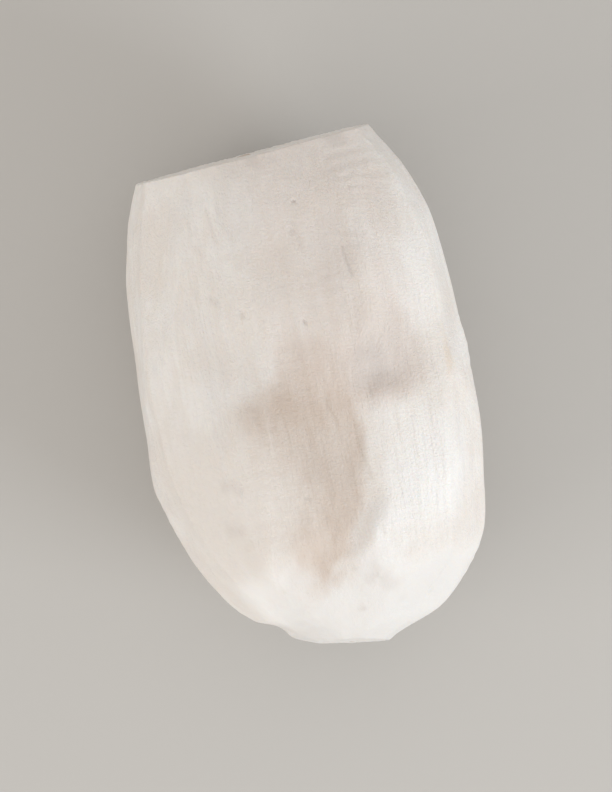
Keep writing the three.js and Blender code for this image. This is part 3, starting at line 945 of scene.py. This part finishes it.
def flesh_bump(nodes, noise):
    """The finest fibres and grain, less of them where the knife cut across."""
    grain = nodes.math("MULTIPLY", noise["grain"], BUMP["grain"])
    height = nodes.math("MULTIPLY_ADD", noise["fibre"], BUMP["fibre"], grain)
    height = nodes.math("SUBTRACT", height, NOISE_MIDDLE)
    kept = nodes.math("MULTIPLY_ADD", nodes.mark("knife"), -BUMP["lost_to_knife"], 1.0)
    bump = nodes.add("ShaderNodeBump")
    bump.inputs["Strength"].default_value = 1.0
    bump.inputs["Distance"].default_value = BUMP["height"]
    nodes.feed(bump.inputs["Height"], nodes.math("MULTIPLY", height, kept))
    return bump.outputs["Normal"]


def flesh_material(looks):
    """Moist, starchy flesh: creamy, faintly fibrous, stained where it is pared into."""
    material, nodes, place = start_material("cassava_flesh")
    noise = {name: nodes.noise(place, *spec) for name, spec in FLESH_NOISE.items()}
    rough = nodes.math("MULTIPLY_ADD", noise["grain"], ROUGH["by_grain"], ROUGH["least"])
    rough = nodes.math("MULTIPLY_ADD", nodes.mark("stain"), ROUGH["by_stain"], rough)
    shader = nodes.add("ShaderNodeBsdfPrincipled")
    nodes.feed(shader.inputs["Base Color"], flesh_colour(nodes, noise, looks))
    nodes.feed(shader.inputs["Roughness"], rough)
    nodes.feed(shader.inputs["Normal"], flesh_bump(nodes, noise))
    shader.inputs["Subsurface Weight"].default_value = looks.translucency
    shader.inputs["Subsurface Radius"].default_value = GLOW_BY_COLOUR
    shader.inputs["Subsurface Scale"].default_value = looks.glow_depth
    shader.inputs["IOR"].default_value = FLESH_IOR
    nodes.show("ShaderNodeOutputMaterial", shader)
    return material


def floor_material(colour):
    """Smooth painted board, with a faint unevenness."""
    material, nodes, place = start_material("studio_floor")
    shader = nodes.add("ShaderNodeBsdfPrincipled")
    paler = tuple(min(1.0, FLOOR["paler"] * channel) for channel in colour)
    uneven = nodes.noise(place, *FLOOR["noise"])
    nodes.feed(shader.inputs["Base Color"], nodes.mix(uneven, rgba(colour), rgba(paler)))
    shader.inputs["Roughness"].default_value = FLOOR["rough"]
    nodes.show("ShaderNodeOutputMaterial", shader)
    return material


# -------- settings


def colour_setting(name, description, default):
    return bpy.props.FloatVectorProperty(
        name=name, description=description, default=default, subtype="COLOR", size=3, min=0.0, max=1.0
    )


class CassavaRootSettings(bpy.types.PropertyGroup):
    """Colours and depth of the root's flesh, and of the shade and light painted on it."""

    flesh: colour_setting("Flesh", "Creamy colour of the flesh", (0.828, 0.80, 0.773))
    # Painted light: the white laid past the wall, in pale patches and on the left faces towards the ends.
    fresh: colour_setting("Fresh flesh", "White of the flesh that was pared last", (0.885, 0.872, 0.86))
    # Also the colour of the painted shade on the left of the top.
    flesh_warm_and_shade: colour_setting("Warmer flesh", "Colour of cloudy and warm patches", (0.775, 0.725, 0.68))
    grey_cast: colour_setting("Grey cast", "Colour of the cooler blotches", (0.75, 0.715, 0.69))
    fibre: colour_setting("Fibre", "Colour of the faint fibres along the side", (0.735, 0.665, 0.605))
    # Painted shade: the grey laid on the right of the top towards the head.
    aged: colour_setting("Aged flesh", "Colour of greyer flesh towards the head", (0.69, 0.60, 0.545))
    # Painted shade on the tail cut and on the right faces towards the ends.
    end_face_shade: colour_setting("Cut face", "Colour of flesh that is cut across", (0.705, 0.685, 0.665))
    stain: colour_setting("Stain", "Tan colour of the pared hollow", (0.595, 0.50, 0.432))
    # Also the colour of the painted shade above the knife stop and in the shoulder's dent.
    bruise: colour_setting("Bruise", "Grey of the bruises and the knife stop", (0.565, 0.505, 0.47))
    dark_fibre: colour_setting("Dark fibre", "Colour of woody threads and core", (0.44, 0.345, 0.26))
    inner_skin: colour_setting("Inner skin", "Colour of leftover inner skin", (0.71, 0.60, 0.495))
    translucency: bpy.props.FloatProperty(
        name="Translucency", description="How much light goes under the surface", subtype="FACTOR",
        default=0.16, min=0.0, max=1.0,
    )
    glow_depth: bpy.props.FloatProperty(
        name="Glow depth", description="How far the light goes under the surface", subtype="DISTANCE",
        unit="LENGTH", default=0.0016, min=0.0, max=0.02,
    )


class CassavaStageSettings(bpy.types.PropertyGroup):
    """Floor, lamps and camera."""

    floor: colour_setting("Floor", "Colour of the plain floor", (0.50, 0.484, 0.462))
    floor_side: bpy.props.FloatProperty(
        name="Floor side", description="Side of the square floor", subtype="DISTANCE", unit="LENGTH",
        default=6.0, min=0.5,
    )
    key: bpy.props.FloatProperty(
        name="Key lamp", description="Strength of the lamp beside the root", subtype="POWER", unit="POWER",
        default=3.48, min=0.0,
    )
    fill: bpy.props.FloatProperty(
        name="Fill lamp", description="Strength of the low lamp on the left", subtype="POWER", unit="POWER",
        default=1.97, min=0.0,
    )
    sky: bpy.props.FloatProperty(
        name="Sky", description="Strength of the pale light all round", default=0.785, min=0.0,
    )
    camera_height: bpy.props.FloatProperty(
        name="Camera height", description="Camera above the middle of the root", subtype="DISTANCE",
        unit="LENGTH", default=0.9, min=0.2,
    )
    camera_roll: bpy.props.FloatProperty(
        name="Camera roll", description="How far the root's axis leans in the picture", subtype="ANGLE",
        unit="ROTATION", default=math.radians(-12.5),
    )
    lens: bpy.props.FloatProperty(
        name="Lens", description="Focal length in millimetres", default=205.0, min=20.0,
    )


# -------- making the pieces


class CASSAVA_OT_make_root(bpy.types.Operator):
    """Make the peeled root and let it stand for the solid"""

    bl_idname = "cassava.make_root"
    bl_label = "Make Root"

    def execute(self, context):
        if ROOT_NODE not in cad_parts:
            raise RuntimeError(f"The frame has no node {ROOT_NODE}.")
        root = bpy.data.objects.new("peeled_root", root_mesh("peeled_root"))
        context.scene.collection.objects.link(root)
        root.data.materials.append(flesh_material(context.scene.cassava_root))
        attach(root, "root")
        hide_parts(ROOT_NODE)
        return {"FINISHED"}


# Each lamp's place, the sides of its face and its colour. Its strength is the setting of that name.
LAMPS = {
    "key": ((0.56, -0.48, 0.27), (0.35, 0.35), (0.90, 0.955, 1.0)),
    "fill": ((-0.72, -0.2, 0.34), (0.5, 0.4), (1.0, 0.985, 0.96)),
}
SKY_COLOUR = (1.0, 0.972, 0.935)
CAMERA_SEES = (0.01, 50.0)  # from how near to how far


def add_lamp(scene, name, place, target, sides, power, colour):
    lamp = bpy.data.lights.new(name, "AREA")
    lamp.shape = "RECTANGLE"
    lamp.size, lamp.size_y = sides
    lamp.energy = power
    lamp.color = colour
    holder = bpy.data.objects.new(name, lamp)
    holder.visible_camera = False
    holder.location = place
    holder.rotation_euler = (Vector(target) - Vector(place)).to_track_quat("-Z", "Y").to_euler()
    scene.collection.objects.link(holder)


def add_floor(scene, stage):
    half = stage.floor_side / 2
    mesh = bpy.data.meshes.new("floor")
    corners = [(-half, -half, 0), (half, -half, 0), (half, half, 0), (-half, half, 0)]
    mesh.from_pydata(corners, [], [(0, 1, 2, 3)])
    floor = bpy.data.objects.new("floor", mesh)
    floor.data.materials.append(floor_material(stage.floor))
    scene.collection.objects.link(floor)


def light_sky(scene, strength):
    world = bpy.data.worlds.new("studio")
    world.use_nodes = True
    nodes = Nodes(world.node_tree)
    background = nodes.add("ShaderNodeBackground")
    background.inputs["Color"].default_value = rgba(SKY_COLOUR)
    background.inputs["Strength"].default_value = strength
    nodes.show("ShaderNodeOutputWorld", background)
    scene.world = world


def add_camera(scene, stage, middle):
    camera = bpy.data.cameras.new("camera")
    camera.lens = stage.lens
    camera.clip_start, camera.clip_end = CAMERA_SEES
    holder = bpy.data.objects.new("camera", camera)
    scene.collection.objects.link(holder)
    holder.location = (middle.x, middle.y, middle.z + stage.camera_height)
    holder.rotation_euler = (0.0, 0.0, stage.camera_roll)
    scene.camera = holder


class CASSAVA_OT_make_stage(bpy.types.Operator):
    """Make the plain floor, the soft lamps and the camera"""

    bl_idname = "cassava.make_stage"
    bl_label = "Make Stage"

    def execute(self, context):
        scene, stage = context.scene, context.scene.cassava_stage
        low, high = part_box(ROOT_NODE)
        middle = (low + high) / 2
        add_floor(scene, stage)
        light_sky(scene, stage.sky)
        for name, (place, sides, colour) in LAMPS.items():
            add_lamp(scene, name, place, middle, sides, getattr(stage, name), colour)
        add_camera(scene, stage, middle)
        scene.view_settings.view_transform = "Standard"
        return {"FINISHED"}


class CASSAVA_PT_maker(bpy.types.Panel):
    """Settings and buttons for the root and its stage"""

    bl_idname = "CASSAVA_PT_maker"
    bl_label = "Peeled Cassava Root"
    bl_space_type = "VIEW_3D"
    bl_region_type = "UI"
    bl_category = "Cassava"

    def draw(self, context):
        for settings, operator in (
            (context.scene.cassava_root, CASSAVA_OT_make_root),
            (context.scene.cassava_stage, CASSAVA_OT_make_stage),
        ):
            box = self.layout.box()
            for name in type(settings).__annotations__:
                box.prop(settings, name)
            box.operator(operator.bl_idname)


CLASSES = (
    CassavaRootSettings,
    CassavaStageSettings,
    CASSAVA_OT_make_root,
    CASSAVA_OT_make_stage,
    CASSAVA_PT_maker,
)


def register():
    for each in CLASSES:
        bpy.utils.register_class(each)
    bpy.types.Scene.cassava_root = bpy.props.PointerProperty(type=CassavaRootSettings)
    bpy.types.Scene.cassava_stage = bpy.props.PointerProperty(type=CassavaStageSettings)


def unregister():
    del bpy.types.Scene.cassava_stage
    del bpy.types.Scene.cassava_root
    for each in reversed(CLASSES):
        bpy.utils.unregister_class(each)


def main():
    register()
    bpy.ops.cassava.make_stage()
    bpy.ops.cassava.make_root()


if __name__ == "__main__":
    main()
